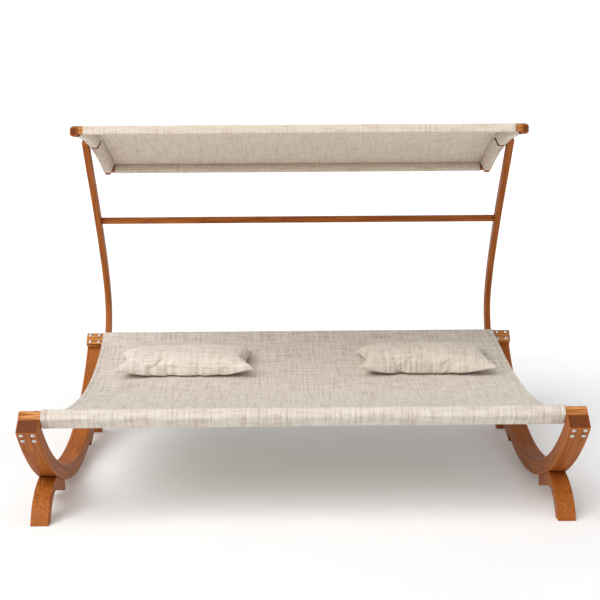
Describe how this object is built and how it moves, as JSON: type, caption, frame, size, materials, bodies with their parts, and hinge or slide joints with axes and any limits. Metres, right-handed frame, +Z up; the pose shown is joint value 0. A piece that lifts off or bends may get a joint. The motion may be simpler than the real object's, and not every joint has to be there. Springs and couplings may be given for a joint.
{
  "type": "canopy lounger bench",
  "caption": "Wide garden lounger with bent-wood side arcs, a slung fabric bed, loose pillows and a tilting fabric canopy on curved posts.",
  "frame": {"origin": "on the ground, under the middle of the bounding box", "axes": "+X along the width, +Y towards the canopy posts and the pillows, +Z up"},
  "size_m": [2.03, 1.6992, 1.4561],
  "materials": {
    "wood": "satin stain",
    "wood_light": "satin stain",
    "linen": "slubbed linen-look weave",
    "pillow_linen": "slubbed linen-look weave",
    "steel": "zinc plated",
    "nylon": "matte"
  },
  "bodies": {
    "frame": {"left_seat_arc": "wood", "right_seat_arc": "wood", "front_left_foot": "wood", "front_right_foot": "wood", "back_left_foot": "wood", "back_right_foot": "wood", "left_post": "wood", "right_post": "wood", "post_crossbar": "wood", "front_seat_rail": "wood_light", "back_seat_rail": "wood_light", "seat_sling": "linen", "front_left_rail_bolt_1": "steel", "front_left_rail_bolt_2": "steel", "front_left_rail_bolt_3": "steel", "front_left_rail_bolt_4": "steel", "front_right_rail_bolt_1": "steel", "front_right_rail_bolt_2": "steel", "front_right_rail_bolt_3": "steel", "front_right_rail_bolt_4": "steel", "back_left_rail_bolt_1": "steel", "back_left_rail_bolt_2": "steel", "back_left_rail_bolt_3": "steel", "back_left_rail_bolt_4": "steel", "back_right_rail_bolt_1": "steel", "back_right_rail_bolt_2": "steel", "back_right_rail_bolt_3": "steel", "back_right_rail_bolt_4": "steel", "front_left_foot_bolt_1": "steel", "front_left_foot_bolt_2": "steel", "front_right_foot_bolt_1": "steel", "front_right_foot_bolt_2": "steel", "back_left_foot_bolt_1": "steel", "back_left_foot_bolt_2": "steel", "back_right_foot_bolt_1": "steel", "back_right_foot_bolt_2": "steel", "left_post_screw_1": "steel", "left_post_screw_2": "steel", "right_post_screw_1": "steel", "right_post_screw_2": "steel", "left_crossbar_screw": "steel", "right_crossbar_screw": "steel", "left_pivot_bolt": "steel", "right_pivot_bolt": "steel", "left_pivot_spacer": "nylon", "right_pivot_spacer": "nylon"},
    "canopy": {"canopy_left_rail": "wood", "canopy_right_rail": "wood", "canopy_front_rail": "wood_light", "canopy_back_rail": "wood_light", "canopy_fabric": "linen", "canopy_front_left_screw": "steel", "canopy_front_right_screw": "steel", "canopy_back_left_screw": "steel", "canopy_back_right_screw": "steel"},
    "pillow_left": {"pillow_left": "pillow_linen"},
    "pillow_right": {"pillow_right": "pillow_linen"}
  },
  "joints": [
    {"name": "canopy_tilt", "type": "hinge", "parent": "frame", "child": "canopy", "pos_m": [0, 0.30701, 1.37334], "axis": [1, 0, 0], "range_deg": [-25, 35]},
    {"name": "pillow_left_lift", "type": "slide", "parent": "frame", "child": "pillow_left", "axis": [0, 0, 1], "range_m": [0, 0.25]},
    {"name": "pillow_right_lift", "type": "slide", "parent": "frame", "child": "pillow_right", "axis": [0, 0, 1], "range_m": [0, 0.25]}
  ]
}
